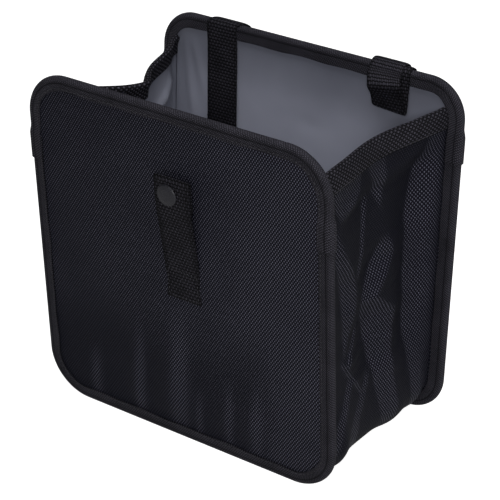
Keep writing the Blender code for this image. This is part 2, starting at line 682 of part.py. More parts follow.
def main():
    root = empty("bin_origin")
    frames, pieces = {}, {}
    for panel in (FRONT, BACK):
        frames[panel.name] = empty(panel.name + "_panel_frame", root, (0, panel.side * BASE_DEPTH / 2, 0),
                                   -panel.side * panel.lean)
        pieces[panel.name] = make_panel(panel, frames[panel.name])
    make_gusset(root)
    make_rim(root, "left_rim_binding", 0, 1)
    make_rim(root, "right_rim_binding", GUSSET_ROWS, GUSSET_ROWS - 1)
    make_right_strap(frames["back"], pieces["back"])
    make_left_strap(frames["back"], pieces["back"])
    make_tab(frames["front"], pieces["front"])
    rest_on_floor(root)


main()
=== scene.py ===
"""Car trash can: cloth, film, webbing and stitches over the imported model, with camera, floor and lights.

Every new piece is a surface worked out from the same panel outlines, leans and folds as the CAD model.
Lengths are metres. A panel's own frame has x across, z up the panel and out away from the bin.
"""
import math
from collections import namedtuple

import bpy
import numpy as np
from mathutils import Matrix, Vector


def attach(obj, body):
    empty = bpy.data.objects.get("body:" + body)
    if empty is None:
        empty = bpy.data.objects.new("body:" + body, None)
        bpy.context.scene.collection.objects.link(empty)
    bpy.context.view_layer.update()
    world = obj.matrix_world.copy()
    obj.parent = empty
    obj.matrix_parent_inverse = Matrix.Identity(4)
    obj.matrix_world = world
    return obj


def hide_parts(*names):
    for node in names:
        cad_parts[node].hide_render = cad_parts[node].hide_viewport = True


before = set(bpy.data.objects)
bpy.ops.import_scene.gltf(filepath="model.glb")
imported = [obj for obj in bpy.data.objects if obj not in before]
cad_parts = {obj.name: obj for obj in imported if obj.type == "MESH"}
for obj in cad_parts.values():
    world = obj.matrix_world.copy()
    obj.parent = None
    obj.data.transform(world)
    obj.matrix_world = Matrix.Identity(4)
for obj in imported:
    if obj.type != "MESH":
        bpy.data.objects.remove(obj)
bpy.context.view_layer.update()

# Panels, layers and clearances, as in the CAD source. Inset is how far inside a panel's outline the gusset
# leaves it, inner_leg the reach of the tape inside, and lap_height the foot of the upper length of tape.
Panel = namedtuple("Panel", "name side width height corner lean inset inner_leg lap_height")
# From the CAD source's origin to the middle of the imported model
SHIFT = np.array([0.0, -0.0017926, 0.0])
BASE_DEPTH = 0.110
OUTER_LEG = 0.0085
FRONT = Panel("front", -1, 0.212, 0.2165, 0.0285, math.radians(2.3), 0.0055, 0.0036, 0.160)
BACK = Panel("back", 1, 0.2175, 0.2135, 0.0236, math.radians(3.3), 0.0105, 0.0090, 0.165)
GAP = 0.0003
BOARD_THICKNESS = 0.0014
FABRIC_THICKNESS = 0.0005
LINER_THICKNESS = 0.0003
TAPE_THICKNESS = 0.0007
WEBBING_THICKNESS = 0.0012
RIM_THICKNESS = 0.0010
FABRIC_MID = BOARD_THICKNESS / 2 + GAP + FABRIC_THICKNESS / 2
FABRIC_FACE = FABRIC_MID + FABRIC_THICKNESS / 2
LINER_MID = -(BOARD_THICKNESS / 2 + GAP + LINER_THICKNESS / 2)
LINER_FACE = LINER_MID - LINER_THICKNESS / 2
FLANGE_MID = LINER_FACE - GAP - FABRIC_THICKNESS / 2
TAPE_OUTER = FABRIC_FACE + GAP + TAPE_THICKNESS / 2
TAPE_INNER = FLANGE_MID - FABRIC_THICKNESS / 2 - GAP - TAPE_THICKNESS / 2
ROLL_RADIUS = (TAPE_OUTER - TAPE_INNER) / 2
ROLL_MIDDLE = (TAPE_OUTER + TAPE_INNER) / 2
ROLL_DEPTH = ROLL_RADIUS + TAPE_THICKNESS / 2
CORE_INSET = ROLL_DEPTH + GAP
LAP_LENGTH = 0.015
LAP_EASE = 0.006
LAP_LIFT = TAPE_THICKNESS + GAP
TAPE_SEAM = OUTER_LEG - 0.0014
TAPE_GROOVE = 0.0030
GROOVE_DEPTH = 0.00028
GROOVE_WIDTH = 0.0006

# Gusset
GUSSET_TOP = {"front": 0.2000, "back": 0.1960}
RIM_LEG = 0.0100
FOLD_END = 0.14
RIGHT_BOW = 0.0070
LEFT_TUCK = 0.0220
LEFT_KINK = 0.0055
LEFT_SAG = 0.0060
WAVE = 0.0030
CREASE = 0.0055
WALL_DEPTH = 0.118

# Webbing and snaps
STRAP_WIDTH = 0.0222
TAB_WIDTH = 0.0248
STRAP_X = 0.062
STRAP_BASE = 0.060
STRAP_SNAP_DROP = 0.036
STRAP_END_DROP = 0.048
STRAP_HANG = 0.128
LOOP_DROP = 0.0235
LOOP_BULGE = 0.0095
LOOP_SKEW = -0.0045
LEFT_SKEW = 0.006
TAB_X = 0.0034
TAB_TOP = 0.1768
TAB_BOTTOM = 0.0975
TAB_SLANT = -0.025
TAB_SEAM = 0.019
TAB_HEM = 0.019
STRAP_SEAM = 0.0080
SEAM_MARGIN = 0.0020
STITCH_PITCH = 0.0030
SOCKET_RADIUS = 0.0050
SOCKET_HEIGHT = 0.0016
STUD_FLANGE = 0.0005
CAP_HEIGHT = 0.0015
SEWN_OUT = FABRIC_FACE + GAP + WEBBING_THICKNESS / 2
OVER_OUT = TAPE_OUTER + TAPE_THICKNESS / 2 + GAP + WEBBING_THICKNESS / 2
INSIDE_OUT = TAPE_INNER - TAPE_THICKNESS / 2 - GAP - WEBBING_THICKNESS / 2
ARCH_RADIUS = (OVER_OUT - INSIDE_OUT) / 2
LAYER = WEBBING_THICKNESS + GAP


# Materials

# Spacing of the yarns, across and along, and of the ridges of the thread
FABRIC_YARNS = (0.00094, 0.00134)
TAPE_YARNS = (0.00078, 0.00072)
STRAP_YARNS = (0.0012, 0.0020)
RIM_YARNS = (0.0013, 0.0018)
TWIST = 0.0007
class Wire:
    """A shader value. Arithmetic adds Math nodes, and node() adds a node of any other kind."""

    def __init__(self, tree, socket):
        self.tree = tree
        self.socket = socket

    def node(self, kind, inputs, output=0, **settings):
        made = self.tree.nodes.new(kind)
        for key, value in settings.items():
            setattr(made, key, value)
        for key, value in inputs.items():
            if isinstance(value, Wire):
                self.tree.links.new(value.socket, made.inputs[key])
            else:
                made.inputs[key].default_value = value
        return Wire(self.tree, made.outputs[output])

    def math(self, operation, *others):
        return self.node("ShaderNodeMath", dict(enumerate((self,) + others)), operation=operation)

    def __add__(self, other):
        return self.math("ADD", other)

    def __mul__(self, other):
        return self.math("MULTIPLY", other)

    def __sub__(self, other):
        return self.math("SUBTRACT", other)

    def __truediv__(self, other):
        return self.math("DIVIDE", other)

    def __rsub__(self, other):
        return self.node("ShaderNodeMath", {0: other, 1: self}, operation="SUBTRACT")

    __radd__ = __add__
    __rmul__ = __mul__

    def wave(self):
        """Round-topped ridges, one for each whole unit."""
        return (self * math.pi).math("SINE").math("ABSOLUTE")

    def between(self, low, high):
        """0 at low, 1 at high, smooth between and even beyond. Low may be the larger of the two."""
        return self.node("ShaderNodeMapRange", {0: self, 1: low, 2: high}, interpolation_type="SMOOTHSTEP")

    def mix(self, first, second):
        """A colour, from first where this is 0 to second where it is 1."""
        return self.node("ShaderNodeMix", {0: self, 6: first, 7: second}, 2, data_type="RGBA")

    def blend(self, first, second):
        """A number, from first where this is 0 to second where it is 1."""
        return self.node("ShaderNodeMix", {0: self, 2: first, 3: second}, 0, data_type="FLOAT")


def colour(red, green, blue):
    return (red, green, blue, 1.0)


def start_material(name, place, **constants):
    """A Principled material; returns it with its shader node and the wire of its coordinates.

    Place is "uv" for the cloth coordinates that a piece carries, or "object" for its place in the model.
    """
    material = bpy.data.materials.new(name)
    material.use_nodes = True
    shader = material.node_tree.nodes["Principled BSDF"]
    for key, value in constants.items():
        shader.inputs[key.replace("_", " ")].default_value = value
    start = Wire(material.node_tree, None)
    if place == "uv":
        return material, shader, start.node("ShaderNodeUVMap", {}, uv_map="cloth")
    return material, shader, start.node("ShaderNodeTexCoord", {}, "Object")


def finish_material(shader, base, roughness, height, distance, strength=1.0, metallic=None):
    """Links what changes over the surface. A height of 1 stands out by the distance, in metres."""
    links = base.tree.links
    links.new(base.socket, shader.inputs["Base Color"])
    links.new(roughness.socket, shader.inputs["Roughness"])
    if metallic is not None:
        links.new(metallic.socket, shader.inputs["Metallic"])
    normal = height.node("ShaderNodeBump", {"Height": height, "Distance": distance, "Strength": strength})
    links.new(normal.socket, shader.inputs["Normal"])


def parts(place):
    """The three coordinates of a vector wire."""
    split = place.tree.nodes.new("ShaderNodeSeparateXYZ")
    place.tree.links.new(place.socket, split.inputs[0])
    return [Wire(place.tree, output) for output in split.outputs]


def noise(place, scale, detail=2.0):
    """Soft noise from 0 to 1, with about scale patches to the metre."""
    return place.node("ShaderNodeTexNoise", {"Vector": place, "Scale": scale, "Detail": detail})


def painted_glint_of(place):
    """The painted glint: how brightly the yarn tops are painted as glints, which each point of a sheet
    carries as an attribute.
    """
    return place.node("ShaderNodeAttribute", {}, "Fac", attribute_name="painted_glint")


def plain_weave(u, v, across, along):
    """Plain weave: yarns crossing in cells across by along, each yarn on top in every second cell.

    Returns the height of the upper yarn, round across and falling towards the ends of each float, and the
    share that is 1 where the yarn along v is on top.
    """
    a = u / across
    b = v / along
    over = ((a.math("FLOOR") + b.math("FLOOR")) * 0.5).math("FRACT") * 2.0
    along_v = a.wave().math("POWER", 0.8) * (0.45 + 0.55 * b.wave())
    along_u = b.wave().math("POWER", 0.8) * (0.35 + 0.50 * a.wave())
    return over.blend(along_u, along_v), over


def woven_fabric():
    """Coated plain weave: upright yarns stand proud, their tops painted bright as glints by the piece's
    painted glint, and the tone drifts.
    """
    material, shader, place = start_material("black_woven_fabric", "uv", IOR=1.45, Specular_IOR_Level=0.10)
    u, v, _ = parts(place)
    drift = noise(place, 55.0) - 0.5
    height, over = plain_weave(u + drift * 0.0010, v + drift * 0.0008, *FABRIC_YARNS)
    slow = noise(place, 22.0, 3.0)
    broken = noise(place, 420.0)
    # Painted glints: the yarn tops are painted brighter where the piece's painted glint is high, dark
    # between them.
    tops = height.between(0.48, 0.92) * over * painted_glint_of(place) * (0.3 + 1.4 * broken)
    base = (tops * (0.45 + 1.1 * slow)).mix(colour(0.0035, 0.0037, 0.0075), colour(0.150, 0.148, 0.196))
    finish_material(shader, base, tops.blend(0.62, 0.36), height, 0.00026, metallic=tops * 0.75)
    return material


def ribbed_tape():
    """Ribbed tape: slanting ribs that meet on the fold, which has a painted highlight along its crest.

    A shallow groove runs along each leg, with painted shade in it.
    """
    material, shader, place = start_material("black_ribbed_tape", "uv", IOR=1.45, Specular_IOR_Level=0.10)
    u, v, _ = parts(place)
    fuzz = noise(place, 1100.0, 3.0)
    from_fold = v.math("ABSOLUTE")
    height, over = plain_weave(u + from_fold * 0.35, v, *TAPE_YARNS)
    height = height * over.blend(0.50, 1.0) + fuzz * 0.35
    # Painted shade: the yarn tops are dulled in the groove along each leg.
    past_groove = (from_fold - 0.0049).math("ABSOLUTE").between(0.0, 0.0009)
    tops = height.between(0.30, 0.95) * past_groove.blend(0.3, 1.0)
    height = height + past_groove * 0.5
    # Painted highlight along the crest of the fold.
    crest = from_fold.between(0.0034, 0.0006)
    tone = tops * (0.15 + noise(place, 60.0) + 0.5 * fuzz) + crest * 0.10
    base = tone.mix(colour(0.0012, 0.0012, 0.0019), colour(0.070, 0.067, 0.085))
    finish_material(shader, base, tops.blend(0.80, 0.46), height, 0.00036, metallic=tops * 0.4)
    return material


def basket_webbing(name, yarns, bright, under, selvedge):
    """Webbing: a coarse basket weave with a groove at each pick and darker selvedges.

    Bright is the tone of the upper floats, and under the share of it that the lower ones have. The piece's
    painted glint adds to both as a painted highlight, over the top of the right strap. Selvedge is the
    distance from the middle to the dark edge.
    """
    material, shader, place = start_material(name, "uv", IOR=1.45, Specular_IOR_Level=0.10)
    u, v, _ = parts(place)
    fuzz = noise(place, 800.0, 3.0)
    wobble = noise(place, 260.0) - 0.5
    v = v + wobble * 0.0007
    height, over = plain_weave(u + wobble * 0.0004, v, *yarns)
    height = height * (0.6 + 0.4 * (v / yarns[1]).wave()) + fuzz * 0.25
    middle = u.math("ABSOLUTE").between(selvedge, selvedge - 0.0012)
    floats = over.blend(under, 1.0) + 0.7 * painted_glint_of(place)
    tops = height.between(0.25, 0.95) * floats * middle.blend(0.60, 1.0)
    tone = tops * (0.3 + 1.2 * noise(place, 90.0))
    base = tone.mix(colour(0.0008, 0.0008, 0.0012), colour(bright, bright * 0.95, bright * 1.22))
    finish_material(shader, base, tops.blend(0.80, 0.45), height, 0.00045, metallic=tops * 0.4)
    return material


def grey_film():
    """Waterproof film with soft handling marks, and painted shade: darker towards the rim and in the left
    rear corner, lighter lower down.
    """
    material, shader, place = start_material("grey_waterproof_film", "object", IOR=1.45,
                                             Specular_IOR_Level=0.30)
    clouds = noise(place, 14.0, 3.0)
    grain = noise(place, 1400.0)
    marks = noise(place, 60.0, 4.0)
    x, y, z = parts(place)
    # Painted shade in the left rear corner and towards the rim; painted light lower down.
    corner = x.between(-0.040, -0.115) * y.between(0.035, 0.056)
    low = z.between(0.205, 0.110) * (1 - 0.5 * corner)
    base = (clouds * 0.3 + low * 0.7).mix(colour(0.060, 0.063, 0.082), colour(0.460, 0.474, 0.570))
    height = grain * 0.10 + clouds * 6.0 + marks * 0.7
    finish_material(shader, base, 0.24 + 0.16 * marks, height, 0.00025, 0.6)
    return material


def snap_metal():
    """Painted metal: satin, with a fine speckle."""
    material, shader, place = start_material("dark_snap_metal", "object", Metallic=0.35)
    clouds = noise(place, 300.0)
    base = clouds.mix(colour(0.012, 0.012, 0.016), colour(0.020, 0.020, 0.026))
    finish_material(shader, base, 0.34 + 0.12 * clouds, noise(place, 2500.0), 0.00003, 0.3)
    return material


def board_plastic():
    """The boards inside the panels, which show only if a panel is cut open."""
    material, shader, place = start_material("stiffening_board", "object")
    clouds = noise(place, 120.0, 3.0)
    base = clouds.mix(colour(0.52, 0.52, 0.50), colour(0.62, 0.62, 0.60))
    finish_material(shader, base, 0.5 + 0.2 * clouds, clouds, 0.00005, 0.3)
    return material


def sewing_thread():
    """Twisted thread: slanting ridges, with painted shade between them."""
    material, shader, place = start_material("black_thread", "uv", Specular_IOR_Level=0.25)
    u, v, _ = parts(place)
    ridge = (u / TWIST + v / TWIST).wave()
    # Painted shade between the ridges.
    base = ridge.mix(colour(0.008, 0.008, 0.010), colour(0.050, 0.049, 0.056))
    finish_material(shader, base, 0.8 - 0.2 * ridge, ridge, 0.00008, 0.6)
    return material


FABRIC = woven_fabric()
TAPE = ribbed_tape()
WEBBING = basket_webbing("black_strap_webbing", STRAP_YARNS, 0.042, 0.42, 0.0098)
RIM_WEB = basket_webbing("black_rim_webbing", RIM_YARNS, 0.078, 0.15, 0.0300)
FILM = grey_film()
SNAP = snap_metal()
BOARD = board_plastic()
THREAD = sewing_thread()


# Surfaces

def smooth(value):
    """0 below 0, 1 above 1, and three squares less two cubes between."""
    value = np.clip(value, 0.0, 1.0)
    return value * value * (3.0 - 2.0 * value)


def bump(value, centre, width):
    """A bell: e to the minus square of the distance from the centre, in widths."""
    return np.exp(-((value - centre) / width) ** 2)


def pinch(value, centre, width):
    """A crest with long flanks: 1 over 1 plus the square of the distance from the centre, in widths."""
    return 1.0 / (1.0 + ((value - centre) / width) ** 2)


def unit(vectors):
    """Vectors divided by their lengths."""
    return vectors / np.maximum(np.linalg.norm(vectors, axis=-1, keepdims=True), 1e-12)


def normals(points):
    """Unit normals of a grid of points: the cross product of its slopes along and across."""
    return unit(np.cross(np.gradient(points, axis=0), np.gradient(points, axis=1)))


def run_length(points):
    """Distance along a list of points: the sum of the steps before each one."""
    steps = np.linalg.norm(np.diff(points, axis=0), axis=-1)
    return np.concatenate([[0.0], np.cumsum(steps)])


def new_piece(name, points, faces, cloth, material):
    """A mesh object from points, faces and the cloth coordinates of each point."""
    mesh = bpy.data.meshes.new(name)
    mesh.from_pydata(points.tolist(), [], faces.tolist())
    layer = mesh.uv_layers.new(name="cloth")
    corners = np.empty(len(mesh.loops), dtype=np.int64)
    mesh.loops.foreach_get("vertex_index", corners)
    layer.data.foreach_set("uv", cloth[corners].astype(np.float32).ravel())
    mesh.polygons.foreach_set("use_smooth", np.ones(len(mesh.polygons), dtype=bool))
    mesh.materials.append(material)
    piece = bpy.data.objects.new(name, mesh)
    bpy.context.scene.collection.objects.link(piece)
    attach(piece, "root")
    return piece


def cloth_sheet(name, middle, half, material, u=None, v=None, painted_glint=0.6):
    """Closed thin sheet: a grid's middle surface moved half its thickness to either side along the normals.

    Painted glint is how brightly the yarn tops are painted as glints, for the materials that read it.
    """
    rows, columns = middle.shape[:2]
    if u is None:
        u = run_length(middle[rows // 2])[None, :] + np.zeros((rows, 1))
    if v is None:
        v = run_length(middle[:, columns // 2])[:, None] + np.zeros((1, columns))
    normal = normals(middle)
    offset = normal * np.broadcast_to(half, (rows, columns))[..., None]
    points = np.concatenate([(middle + offset).reshape(-1, 3), (middle - offset).reshape(-1, 3)])
    index = np.arange(rows * columns).reshape(rows, columns)
    a, b, c, d = index[:-1, :-1], index[1:, :-1], index[1:, 1:], index[:-1, 1:]
    top = np.stack([a, b, c, d], -1).reshape(-1, 4)
    under = top[:, ::-1] + rows * columns
    edges = []
    for line in (index[:, 0], index[-1, :], index[::-1, -1], index[0, ::-1]):
        start, end = line[:-1], line[1:]
        edges.append(np.stack([end, start, start + rows * columns, end + rows * columns], -1))
    faces = np.concatenate([top, under] + edges)
    cloth = np.stack([u, v], -1).reshape(-1, 2)
    piece = new_piece(name, points, faces, np.concatenate([cloth, cloth]), material)
    glint = np.tile(np.broadcast_to(painted_glint, (rows, columns)).ravel(), 2)
    layer = piece.data.attributes.new("painted_glint", "FLOAT", "POINT")
    layer.data.foreach_set("value", glint.astype(np.float32))
    piece["cut"] = [float(np.ptp(u)), float(np.ptp(v))]
    return piece


def panel_points(panel, x, z, out):
    """Points given in a panel's frame, in the model's: turned about x by the lean and moved to its foot."""
    x, z, out = np.broadcast_arrays(x, z, out)
    rise, run = math.cos(panel.lean), math.sin(panel.lean)
    y = panel.side * (BASE_DEPTH / 2 + z * run + out * rise)
    return np.stack([x, y, z * rise - out * run], -1) + SHIFT


def outline(panel, line, depth):
    """Points at a depth inside a panel's outline, along a line of stations (centre x, centre z, angle).

    Each one is the station's centre, moved outwards at its angle by the corner's radius less the depth.
    """
    reach = panel.corner - depth
    return line[..., 0] + reach * np.cos(line[..., 2]), line[..., 1] + reach * np.sin(line[..., 2])


def stations(centres):
    """Stations evenly stepped along a list of (centre x, centre z, angle, steps to the next one)."""
    rows = []
    for (x0, z0, a0, steps), (x1, z1, a1, _) in zip(centres, centres[1:]):
        share = np.arange(steps)[:, None] / steps
        rows.append(np.array([[x0, z0, a0]]) * (1 - share) + np.array([[x1, z1, a1]]) * share)
    rows.append(np.array([centres[-1][:3]]))
    return np.concatenate(rows)


def lower_run(panel, top, side=90, corner=28, level=100):
    """Down the left side, along the bottom and up the right side, in steps for side, corner and bottom."""
    half, low, pi = panel.width / 2 - panel.corner, panel.corner, math.pi
    return stations([(-half, top, pi, side), (-half, low, pi, corner), (-half, low, 1.5 * pi, level),
                     (half, low, 1.5 * pi, corner), (half, low, 2 * pi, side), (half, top, 2 * pi, 1)])


def upper_run(panel, foot, side=24, corner=28, level=100):
    """Up the left side, along the top and down the right side, in steps for side, corner and top."""
    half, high, pi = panel.width / 2 - panel.corner, panel.height - panel.corner, math.pi
    return stations([(-half, foot, pi, side), (-half, high, pi, corner), (-half, high, pi / 2, level),
                     (half, high, pi / 2, corner), (half, high, 0.0, side), (half, foot, 0.0, 1)])


def tape_roll():
    """The half circle of tape over the edge, as columns of out, depth, across and inward."""
    angle = np.linspace(-math.pi / 2, math.pi / 2, 15)
    across, inward = np.sin(angle), np.cos(angle)
    return ROLL_MIDDLE + ROLL_RADIUS * across, ROLL_DEPTH - ROLL_RADIUS * inward, across, inward


def make_tape(panel, name, line, lift, wander):
    """Tape folded over a panel's edge: inner leg, half circle and outer leg, carried along the outline.

    Bells press it in along its grooves and its stitches, and two sines make its free edges wander. Lift
    moves it off the panel where it laps over another length.
    """
    along = run_length(panel_points(panel, *outline(panel, line, 0.0), 0.0))
    edge = 0.00025 * np.sin(along * 190.0 + wander) + 0.0002 * np.sin(along * 83.0 + 2.0 * wander)
    share = np.linspace(0.0, 1.0, 13)[:-1]
    rows = len(line)
    roll_out, roll_depth, roll_across, roll_inward = (np.tile(column, (rows, 1)) for column in tape_roll())
    inner_depth = (panel.inner_leg + edge)[:, None] * (1 - share) + ROLL_DEPTH * share
    outer_depth = ROLL_DEPTH * share[::-1] + (OUTER_LEG + edge)[:, None] * (1 - share[::-1])
    groove = GROOVE_DEPTH * bump(outer_depth, TAPE_GROOVE, GROOVE_WIDTH)
    seam = 0.00022 * bump(outer_depth, TAPE_SEAM, GROOVE_WIDTH)
    beat = 0.00008 * (1 + np.sin(along * 2 * math.pi / STITCH_PITCH))
    dip = beat[:, None] * bump(outer_depth, TAPE_SEAM, 0.001)
    hollow = GROOVE_DEPTH * bump(inner_depth, TAPE_GROOVE, GROOVE_WIDTH)
    ones = np.ones((rows, len(share)))
    out = np.concatenate([TAPE_INNER * ones + hollow, roll_out, TAPE_OUTER * ones - seam - groove - dip], 1)
    depth = np.concatenate([inner_depth, roll_depth, outer_depth], 1)
    across = np.concatenate([-ones, roll_across, ones], 1)
    inward = np.concatenate([0 * ones, roll_inward, 0 * ones], 1)
    x, z = outline(panel, line[:, None, :], depth - lift[:, None] * inward)
    middle = panel_points(panel, x, z, out + lift[:, None] * across)
    width = run_length(np.stack([out[0], depth[0]], -1))
    width = width - width[len(width) // 2]
    piece = cloth_sheet(name, middle, TAPE_THICKNESS / 2, TAPE, u=along[:, None] + 0 * depth,
                        v=width[None, :] + 0 * depth)
    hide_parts(name)


def make_stitches(name, path, normal, pitch=STITCH_PITCH, share=0.62, radius=0.00022):
    """Thread stitches along a path: short tubes, one for each pitch, that arch up and dive at both ends.

    A tube is a ring of six points carried along a parabola, and tapers at its ends by a sixth power.
    """
    along = run_length(path)
    count = int(along[-1] / pitch)
    rings, sides = 7, 6
    t = np.linspace(-0.5, 0.5, rings)
    centre = (np.arange(count)[:, None] + 0.5 + share * t) * pitch
    spine = np.stack([np.interp(centre, along, path[:, k]) for k in range(3)], -1)
    up = unit(np.stack([np.interp(centre, along, normal[:, k]) for k in range(3)], -1))
    arch = radius * (0.9 - 5.76 * t ** 2)
    spine = spine + up * arch[None, :, None]
    aside = unit(np.cross(np.gradient(spine, axis=1), up))
    angle = np.arange(sides) * 2 * math.pi / sides
    taper = radius * np.sqrt(np.maximum(1.0 - (2 * t) ** 6, 0.04))
    ring = aside[:, :, None] * np.cos(angle)[:, None] + up[:, :, None] * np.sin(angle)[:, None]
    points = spine[:, :, None] + ring * taper[None, :, None, None]
    index = np.arange(count * rings * sides).reshape(count, rings, sides)
    turned = np.roll(index, -1, axis=2)
    walls = np.stack([index[:, :-1], turned[:, :-1], turned[:, 1:], index[:, 1:]], -1).reshape(-1, 4)
    caps = [index[:, end, corners] for end, corners in
            ((0, [0, 3, 2, 1]), (0, [0, 5, 4, 3]), (-1, [0, 1, 2, 3]), (-1, [0, 3, 4, 5]))]
    u = np.broadcast_to(centre[:, :, None], index.shape)
    v = np.broadcast_to(angle * radius, index.shape)
    cloth = np.stack([u, v], -1).reshape(-1, 2)
    new_piece(name, points.reshape(-1, 3), np.concatenate([walls] + caps), cloth, THREAD)


def face_stitches(name, panel, x, z, out, **thread):
    """Stitches along a line on a panel's outer face."""
    path = panel_points(panel, x, z, out)
    make_stitches(name, path, unit(panel_points(panel, x, z, out + 0.001) - path), **thread)


def tape_stitches(panel, name, line):
    """The seam that holds the tape, just inside the free edge of its outer leg."""
    x, z = outline(panel, line, TAPE_SEAM)
    face_stitches(name, panel, x, z, TAPE_OUTER + TAPE_THICKNESS / 2 - 0.0003)


def make_panel_face(panel, name, material, out, thickness, swell, painted_glint):
    """A panel's outer fabric or inner film: rows as wide as the rounded outline is at their height.

    The swells die out towards the tape.
    """
    reach = panel.corner - CORE_INSET
    arc = reach * np.sin(np.linspace(0.0, math.pi / 2, 14))
    low = panel.corner - arc[::-1]
    high = panel.height - panel.corner + arc
    z = np.concatenate([low, np.linspace(low[-1], high[0], 92)[1:-1], high])[:, None]
    past = np.maximum(np.maximum(panel.corner - z, z - (panel.height - panel.corner)), 0.0)
    half = panel.width / 2 - panel.corner + np.sqrt(np.maximum(reach ** 2 - past ** 2, 0.0))
    x = half * np.linspace(-1.0, 1.0, 120)[None, :]
    edge = np.minimum(half - np.abs(x), np.minimum(z - CORE_INSET, panel.height - CORE_INSET - z))
    lift = swell(x, z) * smooth((edge - 0.006) / 0.014)
    middle = panel_points(panel, x, z, out + lift)
    piece = cloth_sheet(name, middle, thickness / 2, material, u=x, v=z + 0 * x, painted_glint=painted_glint(x, z))
    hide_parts(name)
    piece["cut"] = [panel.width - 2 * CORE_INSET, panel.height - 2 * CORE_INSET]


# Upright waves of the front's lower part: middle, half width, height in millimetres, top end
FRONT_WAVES = ((-0.0365, 0.0060, 1.5, 0.085), (-0.0100, 0.0110, 2.2, 0.100), (0.0090, 0.0045, 0.9, 0.045),
               (0.0300, 0.0055, 1.1, 0.060), (0.0490, 0.0070, 1.2, 0.070), (-0.0720, 0.0070, 0.6, 0.050))


def wave_middle(middle, z):
    """How far right a wave's middle is at a height: the waves lean a little."""
    return middle - 0.05 * (0.05 - z)


def front_swell(x, z):
    """Upright waves, bells that fade towards their tops, slack round the tab's seam and a slight bow."""
    swell = 0.25 * bump(x, 0.0, 0.035) * bump(z, 0.10, 0.03) + 0.9 * np.cos(x * 14.0) * np.sin(z * 14.4)
    for middle, width, rise, top in FRONT_WAVES:
        swell = swell + rise * bump(x, wave_middle(middle, z), width) * smooth((top - z) / (0.7 * top))
    return 0.0010 * swell


def front_painted_glint(x, z):
    """Painted glints: yarn tops painted brighter more to the right and in streaks on the right flanks of the
    waves, duller at the far left and lower left.
    """
    streaks = 0.0
    for middle, width, rise, top in FRONT_WAVES:
        flank = bump(x, wave_middle(middle, z) + 0.7 * width, 0.50 * width)
        streaks = streaks + rise ** 0.3 * flank * smooth((top - z) / (0.6 * top))
    low = smooth((0.095 - z) / 0.05) * smooth((0.070 - x) / 0.02)
    plain = 0.62 - 0.14 * bump(x, -0.075, 0.03) + 0.50 * smooth((x + 0.02) / 0.11)
    return plain * (1.0 - 0.65 * low) + streaks


def even_shine(x, z):
    """Nearly even: a product of two slow sines about the middle value."""
    return 0.6 + 0.2 * np.sin(x * 40.0) * np.sin(z * 30.0)


def back_swell(x, z):
    """Slack in broad shallow bells, and a narrow one at the foot."""
    left = 0.5 * bump(x, -0.03, 0.04) * bump(z, 0.09, 0.06)
    right = 0.4 * bump(x, 0.05, 0.03) * bump(z, 0.05, 0.05)
    foot = 0.3 * smooth((0.06 - z) / 0.05) * bump(x, 0.01, 0.012)
    return 0.0009 * (left + right + foot)


def film_swell(x, z):
    """The film bellies inwards in slow patches, and fans out in narrow creases from its left corner."""
    patches = bump(x, 0.020, 0.030) * bump(z, 0.150, 0.040)
    patches = patches + 0.7 * bump(x, -0.040, 0.020) * bump(z, 0.165, 0.030)
    fan = 2.4 * bump(x + 0.093 - 0.16 * (0.2 - z), 0.0, 0.0030) * smooth((z - 0.120) / 0.05)
    fan = fan + 1.6 * bump(x + 0.087 - 0.30 * (0.2 - z), 0.0, 0.0028) * smooth((z - 0.150) / 0.03)
    dimple = -1.2 * bump(x, 0.002, 0.010) * bump(z, 0.163, 0.006)
    return -0.0004 * (patches + fan + dimple + 0.4 * np.sin(x * 90.0 + 1.0) * np.sin(z * 60.0))


# Gusset

def crease_line(v, z, ends, width, height):
    """A ridge along a line between two points (v, z), in share of the depth and millimetres.

    Its section is a crest with long flanks, and it fades at both ends.
    """
    (v0, z0), (v1, z1) = ends
    across, up = (v1 - v0) * WALL_DEPTH, (z1 - z0) / 1000
    length = math.hypot(across, up)
    dx, dz = (v - v0) * WALL_DEPTH, z - z0 / 1000
    along = (dx * across + dz * up) / length ** 2
    aside = (dx * up - dz * across) / length
    fade = smooth(along / 0.25) * smooth((1 - along) / 0.25)
    return height * fade / (1.0 + (aside / width) ** 2)


# Strips of the right wall that stand out more and more towards the back: rows of (height in millimetres,
# start, end), the last two as shares of the depth
RISING = (
    ((190, 0.87, 1.00), (140, 0.80, 1.00), (120, 0.785, 1.00), (10, 0.785, 1.00)),
    ((192, 0.37, 0.55), (175, 0.45, 0.54), (158, 0.525, 0.54)),
    ((134, 0.53, 0.60), (125, 0.48, 0.62), (112, 0.38, 0.52), (105, 0.35, 0.46), (97, 0.37, 0.54),
     (90, 0.40, 0.62), (70, 0.44, 0.60), (50, 0.46, 0.60), (25, 0.50, 0.64), (15, 0.52, 0.64)),
    ((176, 0.01, 0.03), (150, 0.05, 0.12), (130, 0.12, 0.23), (115, 0.15, 0.26), (90, 0.175, 0.21),
     (80, 0.18, 0.19)),
    ((166, 0.405, 0.435), (128, 0.26, 0.29)),
    ((92, 0.29, 0.32), (70, 0.17, 0.20)),
    ((76, 0.14, 0.17), (48, 0.32, 0.35)),
    ((62, 0.20, 0.25), (40, 0.06, 0.12), (18, 0.02, 0.06)),
    ((56, 0.38, 0.42), (34, 0.20, 0.28), (14, 0.10, 0.26)),
    ((193, 0.05, 0.35), (180, 0.06, 0.30), (172, 0.10, 0.18)),
)


